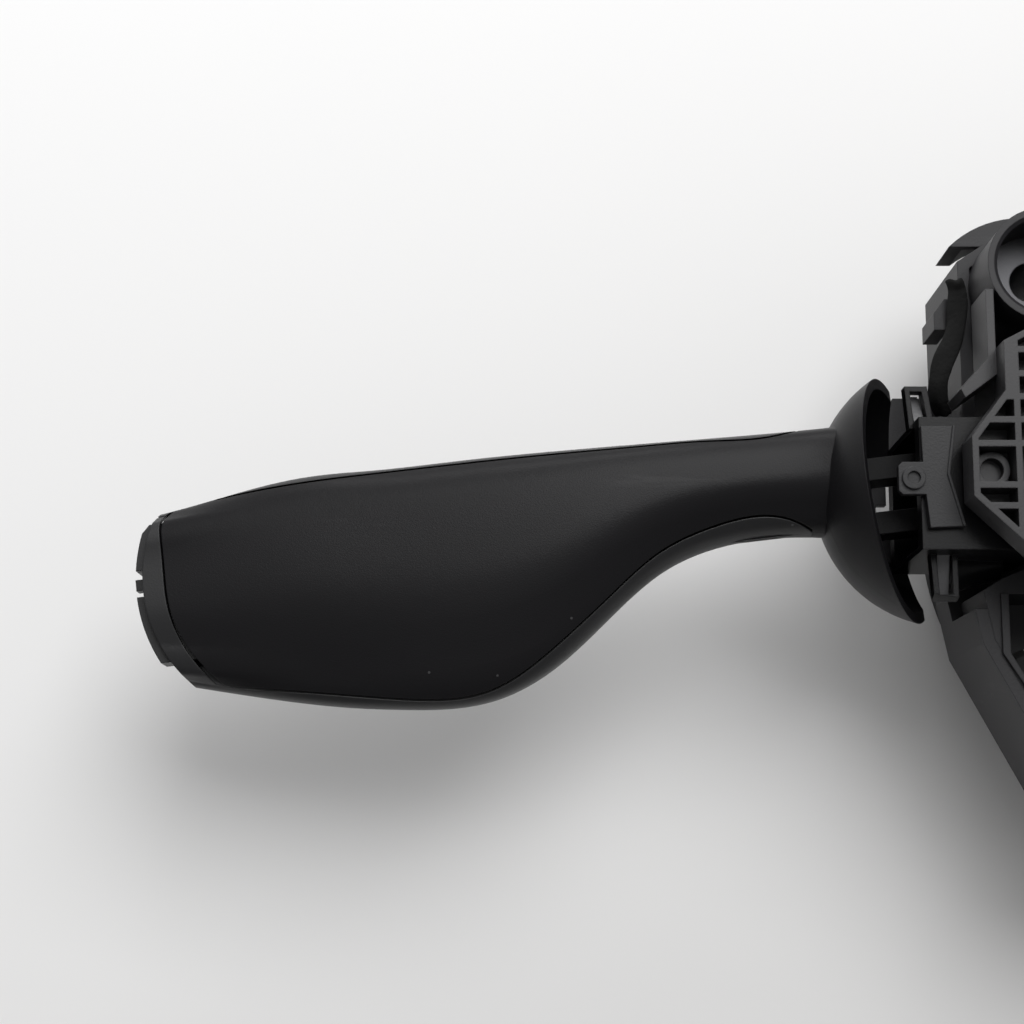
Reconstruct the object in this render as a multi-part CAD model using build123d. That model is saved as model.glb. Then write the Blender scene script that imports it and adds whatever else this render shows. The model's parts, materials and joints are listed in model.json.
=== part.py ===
from build123d import *
import math
import os

# Combination stalk switch for a steering column: two stalks on a central module.
# Millimetres.  Origin on the column axis at the front rim, +Z towards the rear face,
# +X towards the right stalk.  Stalk pieces are drawn in a stalk frame (x outward along the
# lever, y downward, z towards the rear, origin at the pivot) and then put in place.

# --- driving dimensions: module -------------------------------------------------------
PIVOT_X = 49.7            # pivot distance from the column axis
PIVOT_RISE = 15.0         # lever mid-plane above the carrier floor
LEVER_DROOP = 6.8         # degrees that the levers hang below the X axis
WALL = 2.0                # general wall of the mouldings
RUN_FIT = 0.05            # radial clearance of a running fit
SEAT_GAP = 0.3            # gap between pieces that move past each other

CASE_R = 46.0             # clock spring case, outer radius
CASE_H = 20.0             # clock spring case, height
ROTOR_BORE_R = 19.0       # bore of the clock spring hub
HUB_WALL = 2.5            # wall of the hub
ROTOR_GAP = 0.5           # radial gap round the rotor
ROTOR_RECESS = 1.0        # rotor face below the front rim
ROTOR_DISC_T = 2.0        # thickness of the rotor disc
DRIVER_R = 2.4            # driver hole in the rotor face
DRIVER_Y = -34.0
WHEEL_SOCKET = (9.0, 26.0, 35.0, 6.0)   # half width, near edge, far edge and height
SOCKET_WALL = 1.2
CABLE_T = 1.6             # wound thickness of the flat cable
CABLE_END_GAP = 3.0       # free height at each end of the flat cable

GEAR_MODULE = 0.8         # steering angle gear train
CODE_TEETH = 60
MEASURE_TEETH = (16, 18)
MEASURE_ANGLE = (112.0, 68.0)
GEAR_T = 3.0              # gear face width
TOOTH_ROOT_SHARE = 0.36   # tooth width at the root as a share of the pitch
TOOTH_TIP_SHARE = 0.15    # tooth width at the tip as a share of the pitch
ADDENDUM = 0.75           # tooth height above the pitch circle, in modules
DEDENDUM = 1.15           # tooth depth below the pitch circle, in modules
AXLE_R = 1.2              # axles of the measuring gears
BOARD_T = 1.4             # sensor board thickness
BOARD_IN_R = 27.5         # sensor board inner radius
BOARD_CHORD_Y = -30.0     # straight lower edge of the sensor board
BOARD_EDGE_GAP = 1.8      # sensor board inside the carrier wall

GEAR_END_GAP = 1.4        # free height below the code gear
HUB_END_GAP = 0.6         # hub above the code gear
FLOOR_GAP = 0.6           # free height between the hub and the carrier floor
CARRIER_RISE = 17.0       # rim of the carrier above its floor
ARCH_R = 58.0             # radius of the upper arch about the column axis
CARRIER_HALF_W = 47.8     # half width of the carrier between the bays
CARRIER_LOW_HALF_W = 29.0 # half width of its lower edge
SHOULDER_SLOPE = 0.65     # fall of its shoulder per width
CARRIER_HIP_Y = 15.6      # where the lower housing starts to narrow
CARRIER_KNEE = (45.9, 25.0)
CARRIER_SHIN = (34.1, 47.0)
BAY_TOP = 10.6            # bay of the switch body, upper edge
BAY_BOTTOM = 19.4         # bay of the switch body, lower edge
BAY_DEPTH = 6.0           # bay from the outer wall inward
# Foot plate below the root of the lever: reach beyond the outer wall and height, in plan
APRON = ((-1.0, 20.5), (6.7, 20.5), (12.7, 13.0), (12.7, -8.5), (-1.0, -8.5))
APRON_SLOTS = ((7.1, 8.4, 1.4, 5.2), (7.1, 10.2, -0.2, 1.6), (5.4, 7.4, -8.0, -6.0))
RIB_T = 1.2               # stiffening ribs on the carrier floor
RIB_RISE = 5.0
RIB_ANGLES = (66.0, 114.0)

TOWER_INSET = 8.3         # tower axis inside the arch
TOWER_SIDE = 10.9005       # tower axis inside the side wall
TOWER_R = 9.2             # outer radius of the tower ring
TOWER_WALL = 1.6
TOWER_RISE = 31.0
TOWER_SEAT_RISE = 19.0    # seat inside the tower
TOWER_CHAMFER = 0.6
GUARD_R = 17.6            # lip round the tower foot
GUARD_OFFSET = (1.5, 3.6) # lip centre inward of and below the tower axis
GUARD_RISE = 11.0
GUARD_T = 1.6
GUARD_LOW_DROP = 9.0      # lower end of the lip above the tower axis
BOLT_HOLE_R = 3.3         # clear hole through the sleeve
SLEEVE_WALL = 1.5

COLUMN_BORE_R = 21.0      # bore for the column tube
COLLAR_WALL = 3.0
COLLAR_LEN = 16.0
PLATE_RISE = 36.0         # ribbed rear plate
PLATE_T = 7.0
POCKET_DEPTH = 5.2
RIB = 1.0                 # rib thickness of the plate
RIB_ROWS = (22.0, 18.2, 14.4, 10.8, 7.2, 3.5, -2.9, -6.1, -9.9, -13.3)
RIB_COLUMNS = (43.7, 38.4, 32.6, 27.0)
LEAST_POCKET = 3.0        # smaller leftovers between the ribs stay solid, mm2
BOSS_R = 2.8              # small boss in the pocket beside the end facet
BOSS_X = 47.2
BOSS_RISE = 2.0
PLATE_HALF_W = 50.8       # half width over the end facets
FACET_HALF = 4.6          # half height of the end facet
PLATE_LOW_Y = -16.4       # lower edge of the plate
PLATE_CROWN = (14.0, 30.0)
PLATE_SHOULDER = (33.0, 26.0)
PLATE_HIP = (19.6, 11.8)  # upper and lower end of the straight side
PLATE_CHIN = (43.2, 11.8)
PLATE_FOOT_X = 38.4
STRUT_X = 45.4            # strut beside the tower
STRUT_LEN = 29.2          # upper end of the strut
STRUT_T = 1.3
STRUT_LOW_Y = 16.0        # lower end of the strut
HOOK_REACH = 5.7          # reach of the hooked arm beyond the strut
HOOK_DROP = 0.7
LEG_R = 3.4               # screw legs of the plate
LEG_X = 25.0
LEG_Y = 11.0
SCREW_R = 1.5             # plate screws
SCREW_HEAD_R = 2.8
SCREW_HEAD_H = 1.8

SOCKET_OUT_X = 41.8       # harness sockets, one on each side
SOCKET_IN_X = 24.0
SOCKET_TOP_Y = -17.0
SOCKET_LOW_Y = -34.0
SOCKET_CUT = (4.3, 7.5)   # cut corner of a socket
HEADER_RISE = 17.0
STEP_RISE = 7.0           # lower step of the housing
HEADER_STEP_Y = -41.0
HEADER_BAY_X = 36.5       # reach of the housing beside the barrel
HEADER_BAY_CUT = (6.0, 14.0)
HEADER_BAY_DROP = 2.5
HEADER_FLOOR = 3.0        # floor thickness of the recess
RIM_RISE = 0.8            # raised rim round each socket
RIM_T = 1.2
PIN_COUNT = 4             # contact blades in each socket
PIN_PITCH = 3.4
PIN_LEN = 8.0
PIN_T = 0.8

# --- driving dimensions: stalk --------------------------------------------------------
SHROUD_R = 22.1           # outer radius of the ball shroud
SHROUD_WALL = 1.6
SHROUD_HALF_Y = 21.2      # half width of the shroud, in plane
SHROUD_TILT = 24.0        # the open rim leans this far forward, degrees
SHROUD_CUT = 8.7          # distance of the leaning rim from the pivot
SHROUD_FRONT_Z = 17.0     # front edge of the shroud
SHROUD_RIM_X = 5.5        # least distance of the rim from the pivot
FRONT_WALL_X = 9.6        # inner edge of the flat front wall of the shroud
SHROUD_SEAM_Z = 4.0       # seam between the rear and front shroud halves
BALL_GAP = 0.9            # clear gap between the fixed pieces and the shroud

BODY_IN = 12.0            # switch body, reach towards the column
BODY_OUT = 7.3            # switch body, reach towards the lever
BODY_UP = 9.6             # switch body, reach upward
BODY_DOWN = 11.4          # switch body, reach downward
BODY_LOW_Z = -PIVOT_RISE
BODY_HIGH_Z = 12.0
BEARING_SKIN = 1.2        # closed end of the rear bearing
BEARING_T = 3.5           # thickness of the two bearing walls
CAVITY_HALF = 7.9         # half width of the cavity at the pivot
BARREL_R = 5.4            # barrel below the pivot
BARREL_Y = 11.5
BARREL_Z = -3.0
BARREL_LEN = 12.0

GIMBAL_HALF_X = 4.0       # gimbal block
GIMBAL_HALF_Y = 2.3
GIMBAL_HALF_Z = 8.0
STUB_R = 2.2              # vertical trunnions of the gimbal
CROSS_R = 1.5             # cross pin of the lever
ARM_GAP = 0.3             # side gap between gimbal and lever arms
ARM_T = 3.6               # lever arm thickness
ARM_ROOT_INSET = 6.1      # root of the arms inside the shroud
ARM_HALF_Z = 4.0
ARM_BACK = 5.0            # reach of the arms behind the pivot
TAIL_LEN = 7.0            # tail that holds the detent plunger
TAIL_HALF = 4.2
TAIL_WALL = 1.4
TAIL_SKIN = 0.9           # wall at the bottom of the plunger bore
ARM_ROOT_T = 3.0          # root of the fork
ROOT_TAB_Y = (-4.6, -0.4, 2.6)  # tabs on the root, lower ends
ROOT_TAB_W = 1.8
ROOT_TAB_Z = 6.2
PLUNGER_R = 1.8
PLUNGER_LEN = 9.0
PLUNGER_TIP_X = 15.8      # tip of the plunger behind the pivot

BARREL_END_R = 2.4        # barrel radius at its inner end
BARREL_BACK = 8.0         # barrel reach behind the pivot
DETENT_HALF = 7.5         # half width of the detent block
DETENT_R = 16.4           # running surface of the detent block
DETENT_BACK = 18.4
NOTCH_R = 1.0
NOTCH_ANGLE = 12.0        # notch pitch, the indicator throw
RETAINER_T = 1.6
RETAINER_LIP = 0.4        # raised lip along the creased edge of the retainer
RETAINER_OUTER = ((6.3, 8.2), (7.1, -0.2), (7.3, -7.8))
RETAINER_CREASE = ((2.0, -7.8), (3.1, -0.2), (0.9, 8.0))
NECK_IN_X = 5.0           # neck of the retainer
NECK_OUT_X = 11.0
NECK_TOP = -2.1
NECK_BOTTOM = 3.0
NECK_CORNER = 0.6
BOSS_BACK = 2.3
BOSS_OUT_R = 1.8
BOSS_IN_R = 1.0
BOSS_H = 0.6
CAVITY_FLARE = (0.8, 3.2) # cavity widens by this towards the lever, upper and lower
LOOP_HIGH = 7.2           # snap loops of the switch body
LOOP_LOW = 4.6
LOOP_BAR = 0.85           # width of a loop's bars
UPPER_LOOP_ROOT = (4.7, 7.0)   # opening of the upper loop at its root and at its end
UPPER_LOOP_END = (5.7, 7.6)
UPPER_LOOP_LEN = 5.2
LOWER_LOOP_ROOT = (1.8, 4.4)
LOWER_LOOP_END = (1.8, 3.9)
LOWER_LOOP_LEN = 6.4
WEDGE_GAP = 0.25
WEDGE_HIGH = 6.6          # catches inside the loops
WEDGE_LOW = 3.2
WEDGE_TIP = 4.4
FELT_T = 1.2
FELT_RISE = 5.0
LATCH_T = 2.4
LATCH_LOW_Y = 27.0
LATCH_HALF = 2.6
ARM_RISE = 21.0           # hooked arm of the rear plate

LEVER_LEN = 130.2         # pivot to the blade end
TIP_ARC_R = 24.0          # plan radius of the blade end
TIP_ARC_Y = 1.2
REAR_SEAM_Z = 1.6         # floor of the rear cover insert
FRONT_SEAM_Z = -1.2       # seam between mid frame and front cover
GROOVE = 0.35             # groove round the insert
TOP_BAND = 1.1            # rim of the mid frame above the insert
LOW_BAND = 1.6            # rim of the mid frame below the insert
CORE_HALF_Y = 4.2         # carrier bar inside the lever
CORE_HALF_Z = 1.4
CORE_SHORT = 26.2         # carrier bar ends this far from the blade end
ROCKER_OUT = 1.5          # reach of the rocker wings past the blade end
ROCKER_HALF_Z = 2.8
ROCKER_HINGE_BACK = 11.7  # hinge inside the blade end
ROCKER_BACK = 14.2        # inner end of the rocker inside the blade end
ROCKER_UP = 9.3
ROCKER_DOWN = 13.0
ROCKER_CHANNEL = 2.1      # half width of the slot for the button
ROCKER_PIN_R = 1.2
ROCKER_ROOM = 1.1         # free room round the rocker in its pocket
BUTTON_HALF_Y = 0.9
BUTTON_HALF_Z = 1.4
BUTTON_OUT = 1.7          # reach of the button past the blade end
BUTTON_FOOT = 3.0         # half width of the button foot
BUTTON_TRAVEL = 0.9
BUTTON_BACK = 22.2        # inner end of the button inside the blade end
FOOT_LEN = 4.0            # length of the button foot

NECK_BAND = 3.0           # rim below the insert along the neck
TIP_BAND = 3.7            # rim beyond the insert at the blade end
INSERT_CORNER = (4.2, 0.9, 5.6, 7.4, 1.6)  # corners of the insert at the blade end
ROCKER_PIN_LEN = 1.5      # hinge pins of the rocker
FRONT_POCKET_Z = -4.6     # floor of the pocket in the front cover
FRONT_WALL = 2.0          # wall round that pocket
NECK_JOIN = 1.5           # start of the mid frame beyond the shroud
GROOVE_START = 2.6        # insert starts to narrow this far beyond the shroud
GROOVE_RUN = 5.5          # and has its full rim this much further on

# Lever stations: share of the length beyond the root, upper edge, lower edge, half thickness
STATION_ROOT = (-0.022, -12.1, 6.8, 8.4)
STATION_COLLAR = (0.030, -12.3, 4.7, 7.2)
STATION_NECK = (0.183, -12.8, 4.9, 7.4)
STATION_THROAT = (0.2554, -13.1, 7.6, 7.6)
STATION_FLARE = (0.337, -13.4, 13.7, 7.8)
STATION_SHOULDER = (0.423, -13.7, 20.6, 7.8)
STATION_BELLY = (0.527, -13.9, 25.0, 7.5)
STATION_WIDE = (0.654, -14.0, 24.5, 7.0)
STATION_TAPER = (0.817, -13.6, 21.0, 6.4)
STATION_TIP = (1.0254, -12.7, 14.2, 5.6)
STATION_SHARES = (STATION_ROOT, STATION_COLLAR, STATION_NECK, STATION_THROAT, STATION_FLARE,
                  STATION_SHOULDER, STATION_BELLY, STATION_WIDE, STATION_TAPER, STATION_TIP)

# Lever section: shares of the half width (upper edge first) and of the half thickness
SECTION_SHARES = ((-1.0, 0.15), (-0.97, 0.52), (-0.86, 0.78), (-0.62, 0.93), (-0.30, 0.99),
                  (0.05, 1.0), (0.32, 0.90), (0.62, 0.70), (0.86, 0.49), (0.98, 0.22),
                  (1.0, -0.12), (0.93, -0.50), (0.72, -0.80), (0.36, -0.96), (0.0, -1.0),
                  (-0.36, -0.98), (-0.72, -0.88), (-0.94, -0.52))

# --- derived sizes --------------------------------------------------------------------
HUB_R = ROTOR_BORE_R + HUB_WALL
GEAR_Z = CASE_H + BOARD_T + GEAR_END_GAP
HUB_TOP = GEAR_Z + GEAR_T + HUB_END_GAP
FLOOR_LOW = HUB_TOP + FLOOR_GAP
FLOOR_TOP = FLOOR_LOW + WALL
PIVOT_Z = FLOOR_TOP + PIVOT_RISE
CARRIER_TOP = FLOOR_TOP + CARRIER_RISE
TOWER_X = CARRIER_HALF_W - TOWER_SIDE
TOWER_Y = math.sqrt((ARCH_R - TOWER_INSET) ** 2 - TOWER_X ** 2)
BOARD_OUT_R = CARRIER_HALF_W - WALL - BOARD_EDGE_GAP
TOWER_TOP = FLOOR_TOP + TOWER_RISE
TOWER_SEAT_Z = FLOOR_TOP + TOWER_SEAT_RISE
GUARD_X = TOWER_X - GUARD_OFFSET[0]
GUARD_Y = TOWER_Y - GUARD_OFFSET[1]
GUARD_Z = FLOOR_TOP + GUARD_RISE
GUARD_LOW_Y = TOWER_Y + GUARD_LOW_DROP
PLATE_TOP = FLOOR_TOP + PLATE_RISE
ARM_LOW_Z = FLOOR_TOP + ARM_RISE
FELT_LOW_Z = FLOOR_TOP + FELT_RISE
CODE_PITCH_R = GEAR_MODULE * CODE_TEETH / 2
PLATE_LOW = PLATE_TOP - PLATE_T
HEADER_TOP = FLOOR_TOP + HEADER_RISE
HEADER_STEP_Z = FLOOR_TOP + STEP_RISE
BALL_R = SHROUD_R - SHROUD_WALL - BALL_GAP
ARM_IN = GIMBAL_HALF_Y + ARM_GAP
ARM_OUT = ARM_IN + ARM_T
ARM_ROOT_X = SHROUD_R - ARM_ROOT_INSET
CORE_END = LEVER_LEN - CORE_SHORT
ROCKER_HINGE_X = LEVER_LEN - ROCKER_HINGE_BACK
ROCKER_BACK_X = LEVER_LEN - ROCKER_BACK
BUTTON_BACK_X = LEVER_LEN - BUTTON_BACK
ROOT_X = SHROUD_R - 2.3
STATIONS = [(ROOT_X + share * (LEVER_LEN - ROOT_X), top, bottom, half)
            for share, top, bottom, half in STATION_SHARES]
DEEP = 2 * SHROUD_R       # cutting blocks reach past every lever piece by this
FAR = LEVER_LEN + SHROUD_R
NODES = {}


def ring(outer, inner, z0, z1):
    """Hollow cylinder about Z between two heights."""
    body = Cylinder(outer, z1 - z0, align=(Align.CENTER, Align.CENTER, Align.MIN))
    bore = Cylinder(inner, z1 - z0, align=(Align.CENTER, Align.CENTER, Align.MIN))
    return Pos(0, 0, z0) * (body - bore)


def disc(radius, z0, z1, x=0.0, y=0.0):
    """Solid cylinder parallel to Z at x, y between two heights."""
    return Pos(x, y, z0) * Cylinder(radius, z1 - z0, align=(Align.CENTER, Align.CENTER, Align.MIN))


def block(x0, x1, y0, y1, z0, z1):
    """Box between two corners."""
    return Pos((x0 + x1) / 2, (y0 + y1) / 2, (z0 + z1) / 2) * Box(x1 - x0, y1 - y0, z1 - z0)


def prism(points, z0, z1):
    """Straight-sided prism over a closed outline."""
    face = make_face(Polyline(*points, close=True))
    return Pos(0, 0, z0) * extrude(face, amount=z1 - z0)


def both_sides(shape):
    """The shape and its mirror image across the YZ plane."""
    return shape + mirror(shape, about=Plane.YZ)


def gear_outline(teeth):
    """Closed outline of a gear with trapezoid teeth."""
    pitch_r = GEAR_MODULE * teeth / 2
    tip_r = pitch_r + ADDENDUM * GEAR_MODULE
    root_r = pitch_r - DEDENDUM * GEAR_MODULE
    step = 2 * math.pi / teeth
    points = []
    for i in range(teeth):
        for share, radius in ((-TOOTH_ROOT_SHARE, root_r), (-TOOTH_TIP_SHARE, tip_r),
                              (TOOTH_TIP_SHARE, tip_r), (TOOTH_ROOT_SHARE, root_r)):
            angle = step * (i + share / 2)
            points.append((radius * math.cos(angle), radius * math.sin(angle)))
    return points


# --- module ---------------------------------------------------------------------------
def clock_spring_case():
    """Cup that is open to the front, with the hub hole in its rear wall."""
    cup = ring(CASE_R, CASE_R - WALL, 0, CASE_H)
    rear = ring(CASE_R, HUB_R + ROTOR_GAP, CASE_H - WALL, CASE_H)
    return cup + rear


def clock_spring_rotor():
    """Front disc and hub that turn with the steering wheel."""
    disc_r = CASE_R - WALL - ROTOR_GAP
    face = ring(disc_r, ROTOR_BORE_R, ROTOR_RECESS, ROTOR_RECESS + ROTOR_DISC_T)
    hub = ring(HUB_R, ROTOR_BORE_R, ROTOR_RECESS, HUB_TOP)
    half, near, far, height = WHEEL_SOCKET
    inner = half - SOCKET_WALL
    mouth = block(-inner, inner, near + SOCKET_WALL, far - SOCKET_WALL, 0, ROTOR_RECESS + ROTOR_DISC_T)
    return face + hub - disc(DRIVER_R, 0, ROTOR_RECESS + ROTOR_DISC_T, 0, DRIVER_Y) - mouth


def rotor_socket():
    """Socket of the wheel harness behind the rotor face, open to the front."""
    z0 = ROTOR_RECESS + ROTOR_DISC_T
    half, near, far, height = WHEEL_SOCKET
    shell = block(-half, half, near, far, z0, z0 + height)
    inner = half - SOCKET_WALL
    return shell - block(-inner, inner, near + SOCKET_WALL, far - SOCKET_WALL, z0,
                         z0 + height - SOCKET_WALL)


def flat_cable():
    """Wound flat cable between hub and case."""
    z0 = ROTOR_RECESS + ROTOR_DISC_T + CABLE_END_GAP
    r_out = CASE_R - WALL - ROTOR_GAP
    return ring(r_out, r_out - CABLE_T, z0, CASE_H - WALL - CABLE_END_GAP)


def code_gear():
    """Gear on the hub that drives the two measuring gears."""
    wheel = prism(gear_outline(CODE_TEETH), GEAR_Z, GEAR_Z + GEAR_T)
    return wheel - disc(HUB_R, GEAR_Z, GEAR_Z + GEAR_T)


def measure_place(index):
    """Axle position of a measuring gear."""
    distance = CODE_PITCH_R + GEAR_MODULE * MEASURE_TEETH[index] / 2
    angle = math.radians(MEASURE_ANGLE[index])
    return distance * math.cos(angle), distance * math.sin(angle)


def measuring_gear(index):
    """Small gear on its axle, turned so that a gap faces a tooth of the code gear."""
    teeth = MEASURE_TEETH[index]
    wheel = prism(gear_outline(teeth), GEAR_Z, GEAR_Z + GEAR_T)
    wheel -= disc(AXLE_R + RUN_FIT, GEAR_Z, GEAR_Z + GEAR_T)
    line = MEASURE_ANGLE[index]
    code_phase = (line * CODE_TEETH / 360.0) % 1.0
    turn = line + 180.0 + (0.5 + code_phase) * 360.0 / teeth
    x, y = measure_place(index)
    return Pos(x, y, 0) * Rot(0, 0, turn) * wheel


def sensor_board():
    """Ring-shaped board of the steering angle sensor."""
    board = ring(BOARD_OUT_R, BOARD_IN_R, CASE_H, CASE_H + BOARD_T)
    board -= block(-BOARD_OUT_R, BOARD_OUT_R, -BOARD_OUT_R, BOARD_CHORD_Y, CASE_H, CASE_H + BOARD_T)
    sleeve_r = BOLT_HOLE_R + SLEEVE_WALL + SEAT_GAP
    return board - both_sides(disc(sleeve_r, CASE_H, CASE_H + BOARD_T, -TOWER_X, TOWER_Y))


def carrier_outline():
    """Left half of the carrier outline, from the arch down to the lower edge."""
    arch_y = math.sqrt(ARCH_R ** 2 - GUARD_X ** 2)
    drop = CARRIER_HALF_W - GUARD_X
    return [(-GUARD_X, arch_y), (-CARRIER_HALF_W, arch_y - drop * SHOULDER_SLOPE),
            (-CARRIER_HALF_W, -CARRIER_HIP_Y), (-CARRIER_KNEE[0], -CARRIER_KNEE[1]),
            (-CARRIER_SHIN[0], -CARRIER_SHIN[1]), (-CARRIER_LOW_HALF_W, -ARCH_R)]


def carrier_prism(inset, z0, z1):
    """Carrier outline as a solid, shrunk by inset."""
    half = carrier_outline()
    edges = [Line(a, b) for a, b in zip(half, half[1:])]
    edges += [mirror(e, about=Plane.YZ) for e in edges]
    edges.append(Line(half[-1], (-half[-1][0], half[-1][1])))
    edges.append(ThreePointArc(half[0], (0, ARCH_R), (-half[0][0], half[0][1])))
    face = make_face(edges)
    if inset:
        face = offset(face, amount=-inset, kind=Kind.INTERSECTION)
    return Pos(0, 0, z0) * extrude(face, amount=z1 - z0)


def tower():
    """Mounting tower with its guard lip, on the left side."""
    pipe = disc(TOWER_R, FLOOR_TOP, TOWER_TOP, -TOWER_X, TOWER_Y)
    mouth = Pos(-TOWER_X, TOWER_Y, TOWER_TOP - TOWER_CHAMFER)
    inner = TOWER_R - TOWER_WALL
    pipe -= mouth * Cone(inner, inner + TOWER_CHAMFER, TOWER_CHAMFER,
                         align=(Align.CENTER, Align.CENTER, Align.MIN))
    pipe -= disc(inner, TOWER_SEAT_Z, TOWER_TOP, -TOWER_X, TOWER_Y)
    pipe -= disc(BOLT_HOLE_R + SLEEVE_WALL, FLOOR_LOW, TOWER_TOP, -TOWER_X, TOWER_Y)
    lip = disc(GUARD_R, GUARD_Z - GUARD_T, GUARD_Z, -GUARD_X, GUARD_Y)
    lip -= disc(GUARD_R - 2 * GUARD_T, GUARD_Z - GUARD_T, GUARD_Z, -GUARD_X, GUARD_Y)
    skirt = disc(GUARD_R, FLOOR_TOP, GUARD_Z, -GUARD_X, GUARD_Y)
    skirt -= disc(GUARD_R - GUARD_T, FLOOR_TOP, GUARD_Z, -GUARD_X, GUARD_Y)
    slant = [(0, GUARD_LOW_Y), (-CARRIER_HALF_W, GUARD_LOW_Y),
             (-CARRIER_HALF_W - GUARD_R, GUARD_LOW_Y - GUARD_R / 2), (-ARCH_R - GUARD_R, 2 * ARCH_R),
             (0, 2 * ARCH_R)]
    return pipe + ((lip + skirt) & prism(slant, FLOOR_TOP, GUARD_Z))


def switch_carrier():
    """Tray that holds the switches, with towers, bays, ribs and gear axles."""
    shell = carrier_prism(0, CASE_H, CARRIER_TOP)
    shell -= carrier_prism(WALL, CASE_H, FLOOR_LOW)
    shell -= carrier_prism(WALL, FLOOR_TOP, CARRIER_TOP)
    shell += both_sides(tower())
    hole_r = BOLT_HOLE_R + SLEEVE_WALL
    shell -= both_sides(disc(hole_r, CASE_H, FLOOR_TOP, -TOWER_X, TOWER_Y))
    rib_top = FLOOR_TOP + RIB_RISE
    inside = carrier_prism(WALL / 2, FLOOR_TOP, rib_top)
    high = block(-ARCH_R, ARCH_R, BAY_TOP, ARCH_R, FLOOR_TOP, rib_top)
    ribs = block(-RIB_T / 2, RIB_T / 2, HUB_R, ARCH_R, FLOOR_TOP, rib_top)
    for angle in RIB_ANGLES:
        ribs += Rot(0, 0, angle) * block(HUB_R, ARCH_R, -RIB_T / 2, RIB_T / 2, FLOOR_TOP, rib_top)
    ribs += ring(HUB_R + ROTOR_GAP + RIB_T, HUB_R + ROTOR_GAP, FLOOR_TOP, rib_top)
    shell += (ribs & inside) & high
    shell -= disc(HUB_R + ROTOR_GAP, CASE_H, rib_top)
    shell -= both_sides(disc(hole_r, CASE_H, TOWER_SEAT_Z, -TOWER_X, TOWER_Y))
    bay = block(-ARCH_R, BAY_DEPTH - CARRIER_HALF_W, -BAY_BOTTOM, BAY_TOP, FLOOR_TOP, CARRIER_TOP)
    shell -= both_sides(bay)
    apron = prism([(-CARRIER_HALF_W - reach, y) for reach, y in APRON], CASE_H, CASE_H + WALL)
    for near, far, y0, y1 in APRON_SLOTS:
        apron -= block(-CARRIER_HALF_W - far, -CARRIER_HALF_W - near, y0, y1, CASE_H, CASE_H + WALL)
    shell += both_sides(apron)
    for index in range(len(MEASURE_TEETH)):
        x, y = measure_place(index)
        shell += disc(AXLE_R, CASE_H + BOARD_T, FLOOR_LOW, x, y)
    return shell


def plate_outline():
    """Left half of the outline of the ribbed rear plate."""
    return [(-PLATE_CROWN[0], PLATE_CROWN[1]), (-PLATE_SHOULDER[0], PLATE_SHOULDER[1]),
            (-STRUT_X, PLATE_HIP[0]), (-STRUT_X, PLATE_HIP[1]), (-PLATE_HALF_W, FACET_HALF),
            (-PLATE_HALF_W, -FACET_HALF), (-PLATE_CHIN[0], -PLATE_CHIN[1]),
            (-PLATE_FOOT_X, PLATE_LOW_Y), (-COLUMN_BORE_R, PLATE_LOW_Y)]


def plate_face():
    """Whole outline of the ribbed rear plate."""
    left = plate_outline()
    right = [(-x, y) for x, y in reversed(left)]
    return make_face(Polyline(*(left + right), close=True))


def plate_pockets():
    """Pockets between the ribs of the rear plate."""
    area = offset(plate_face(), amount=-RIB, kind=Kind.INTERSECTION)
    area -= Circle(COLUMN_BORE_R + COLLAR_WALL + RIB)
    for x in (-LEG_X, LEG_X):
        for y in (-LEG_Y, LEG_Y):
            area -= Pos(x, y) * Circle(LEG_R)
    for y in RIB_ROWS:
        area -= Pos(0, y) * Rectangle(2 * PLATE_HALF_W, RIB)
    for x in RIB_COLUMNS:
        for sign in (-1, 1):
            area -= Pos(sign * x, 0) * Rectangle(RIB, 4 * STRUT_X)
    floors = [face for face in area.faces() if face.area > LEAST_POCKET]
    pockets = [extrude(face, amount=POCKET_DEPTH) for face in floors]
    return Pos(0, 0, PLATE_TOP - POCKET_DEPTH) * Compound(pockets)


def column_bracket():
    """Ribbed rear plate with the column collar and four screw legs."""
    plate = Pos(0, 0, PLATE_LOW) * extrude(plate_face(), amount=PLATE_T)
    plate -= plate_pockets()
    boss_z = PLATE_TOP - POCKET_DEPTH
    boss = ring(BOSS_R, BOSS_R - RIB, boss_z, boss_z + BOSS_RISE)
    plate += both_sides(Pos(-BOSS_X, 0, 0) * boss)
    collar_top = PLATE_TOP + RIB
    collar_low = collar_top - COLLAR_LEN
    plate += disc(COLUMN_BORE_R + COLLAR_WALL, collar_low, collar_top)
    plate -= disc(COLUMN_BORE_R, collar_low, collar_top)
    plate -= both_sides(disc(TOWER_R + SEAT_GAP, PLATE_LOW, PLATE_TOP, -TOWER_X, TOWER_Y))
    plate += both_sides(block(-STRUT_X - STRUT_T, -STRUT_X, STRUT_LOW_Y, STRUT_LEN, ARM_LOW_Z, TOWER_TOP))
    root_x = -STRUT_X
    tip_x = root_x - HOOK_REACH
    arm = [(root_x, PLATE_HIP[0]), (tip_x, PLATE_HIP[0] - HOOK_REACH - HOOK_DROP),
           (tip_x + HOOK_DROP, PLATE_HIP[1]), (root_x + HOOK_DROP, STRUT_LOW_Y)]
    plate += both_sides(prism(arm, ARM_LOW_Z, PLATE_LOW + WALL))
    for x in (-LEG_X, LEG_X):
        for y in (-LEG_Y, LEG_Y):
            plate += disc(LEG_R, FLOOR_TOP, PLATE_TOP, x, y)
            plate -= disc(SCREW_R, FLOOR_TOP, PLATE_TOP, x, y)
            plate -= disc(SCREW_HEAD_R + SEAT_GAP, PLATE_TOP - SCREW_HEAD_H, PLATE_TOP, x, y)
    return plate


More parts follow.
